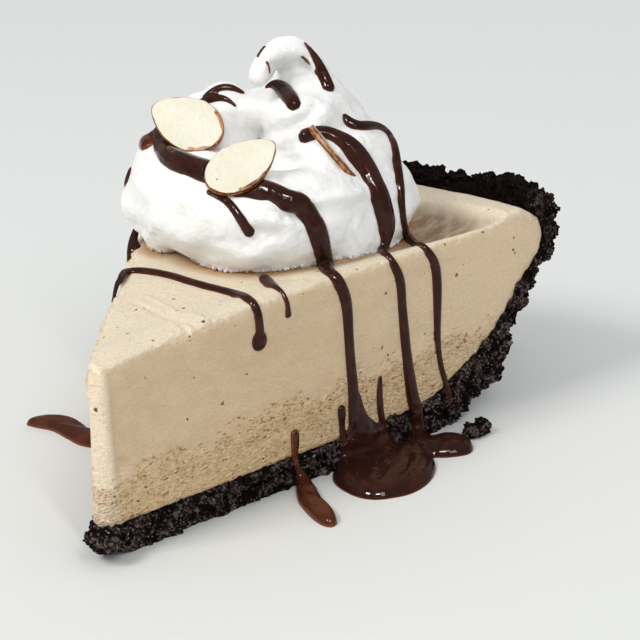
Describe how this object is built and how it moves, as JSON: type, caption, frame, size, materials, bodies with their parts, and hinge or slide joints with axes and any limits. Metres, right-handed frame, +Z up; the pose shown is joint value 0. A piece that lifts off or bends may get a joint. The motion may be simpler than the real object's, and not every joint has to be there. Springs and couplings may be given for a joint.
{
  "type": "ice cream pie slice",
  "caption": "Wedge of ice cream pie: dark crumb crust, mocha ice cream, a dollop of whipped cream with almond slices, and chocolate sauce that runs down the cut into a puddle.",
  "frame": {"origin": "on the flat underside of the crust, on the slice's centre line, half way between its point and the outside of its rim", "axes": "+X runs from the slice's point to the rim, +Z is up, and the cut that the slice is served from faces -Y"},
  "size_m": [0.1153, 0.0896, 0.074],
  "materials": {
    "mocha_ice_cream": "smooth, soft and slightly wet above, porous near the crust, with fine dark specks",
    "cookie_crumb": "coarse pressed crumbs, nearly black, with small dull glints",
    "whipped_cream": "soft, smooth and slightly glossy",
    "almond": "ivory cut face with a thin brown skin round the edge",
    "chocolate_sauce": "wet gloss, reddish where it is thin"
  },
  "bodies": {
    "root": {"ice_cream": "mocha_ice_cream", "cookie_crust": "cookie_crumb", "crust_crumb": "cookie_crumb", "whipped_cream": "whipped_cream", "almond_slice_left": "almond", "almond_slice_front": "almond", "almond_slice_edge": "almond", "sauce_pool": "chocolate_sauce", "sauce_tongue_front": "chocolate_sauce", "sauce_tongue_left": "chocolate_sauce"}
  },
  "joints": []
}
